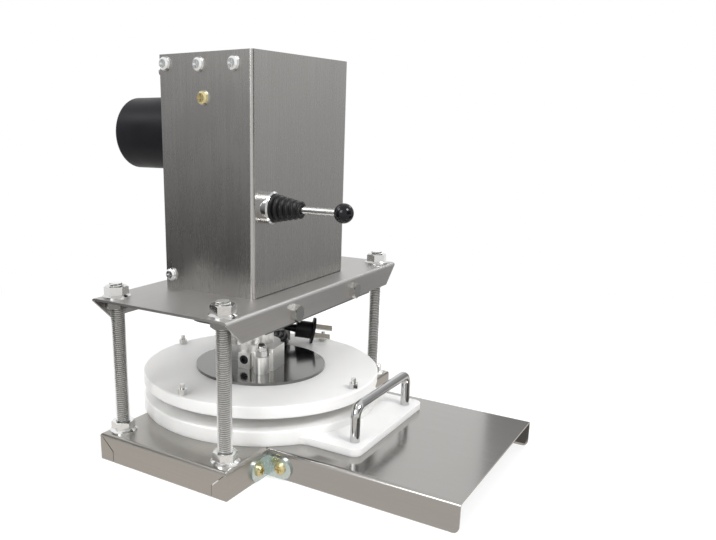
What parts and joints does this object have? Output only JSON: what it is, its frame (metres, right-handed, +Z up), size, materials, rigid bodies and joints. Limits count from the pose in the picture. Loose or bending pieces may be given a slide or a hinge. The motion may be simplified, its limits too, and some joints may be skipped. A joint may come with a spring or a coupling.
{
  "type": "pizza dough press",
  "caption": "Electric dough press: folded steel base with a slide-out plate, tie rods, a motor box with joystick, and a flat press disc on a rack-driven ram.",
  "frame": {"origin": "middle of the outline on the table", "axes": "+Z up, front with the joystick and tray faces -Y, +X to the right as seen from the front"},
  "size_m": [0.289, 0.376, 0.3335],
  "materials": {
    "brushed": "vertical brushed grain",
    "plate_steel": "smooth bright sheet",
    "zinc": "bright zinc plating",
    "yellow_zinc": "yellow zinc plating",
    "dark_iron": "dark machined block",
    "bronze": "turned bronze",
    "frame_steel": "machined steel",
    "black_steel": "black oxide",
    "gear_alloy": "cast alloy",
    "motor_black": "satin black paint",
    "cream_plastic": "moulded",
    "bright_chrome": "polished",
    "black_plastic": "moulded",
    "knob_black": "glossy",
    "black_rubber": "matt",
    "tie_white": "soft sheen",
    "blade_brass": "plated",
    "press_white": "milled polyethylene"
  },
  "bodies": {
    "frame": {"base_frame": "brushed", "slide_tray": "brushed", "cover_shell": "brushed", "back_panel": "brushed", "top_lid": "brushed", "top_plate": "plate_steel", "tie_rods": "zinc", "base_under_nuts": "zinc", "base_top_nuts": "zinc", "plate_under_nuts": "zinc", "plate_top_nuts": "zinc", "flange_bolts": "zinc", "cover_screws": "zinc", "back_screws": "zinc", "screw_washers": "zinc", "corner_brackets": "zinc", "joystick_nut": "zinc", "capacitor_clip": "zinc", "bracket_screws": "yellow_zinc", "bracket_nuts": "yellow_zinc", "clip_screw": "yellow_zinc", "guide_beam": "dark_iron", "beam_bush": "bronze", "upper_guide": "bronze", "shaft_bearings": "bronze", "drive_frame": "frame_steel", "frame_screws": "black_steel", "gearbox_screws": "black_steel", "gearbox_case": "gear_alloy", "run_capacitor": "gear_alloy", "motor_can": "motor_black", "terminal_block": "cream_plastic", "joystick_bezel": "bright_chrome", "switch_body": "black_plastic", "joystick_boot": "black_rubber", "cord_gland": "black_rubber"},
    "press_head": {"press_ram": "frame_steel", "ram_rack": "frame_steel", "clamp_hub": "frame_steel", "pinch_screw": "black_steel", "hub_studs": "zinc", "dome_nuts": "bright_chrome", "flange_disc": "bright_chrome", "press_disc": "press_white", "disc_bolts": "zinc", "disc_nuts": "zinc", "cord_drop": "black_rubber", "cord_coil": "black_rubber", "coil_tie": "tie_white", "plug_lead": "black_rubber", "plug_body": "black_rubber", "plug_blades": "blade_brass"},
    "pinion": {"drive_pinion": "frame_steel", "pinion_shaft": "frame_steel"},
    "lower_slide": {"lower_plate": "press_white", "pull_handle": "bright_chrome", "handle_screws": "zinc"},
    "joystick": {"joystick_stick": "bright_chrome", "joystick_ball": "knob_black"}
  },
  "joints": [
    {"name": "press_slide", "type": "slide", "parent": "frame", "child": "press_head", "axis": [0, 0, 1], "range_m": [-0.01, 0.028], "deforming": ["cord_drop"]},
    {"name": "pinion_turn", "type": "hinge", "parent": "frame", "child": "pinion", "pos_m": [0.0285, 0.042, 0.2706], "axis": [0, 1, 0], "range_deg": [-45, 125]},
    {"name": "plate_slide", "type": "slide", "parent": "frame", "child": "lower_slide", "axis": [0, -1, 0], "range_m": [0, 0.12]},
    {"name": "joystick_tilt", "type": "hinge", "parent": "frame", "child": "joystick", "pos_m": [-0.0563, -0.0045, 0.2147], "axis": [1, 0, 0], "range_deg": [-12, 12], "stiffness_Nm_per_rad": 1, "deforming": ["joystick_boot"]}
  ],
  "couplings": [
    {"joint": "pinion_turn", "follows": "press_slide", "rad_per_m": 71.429}
  ]
}
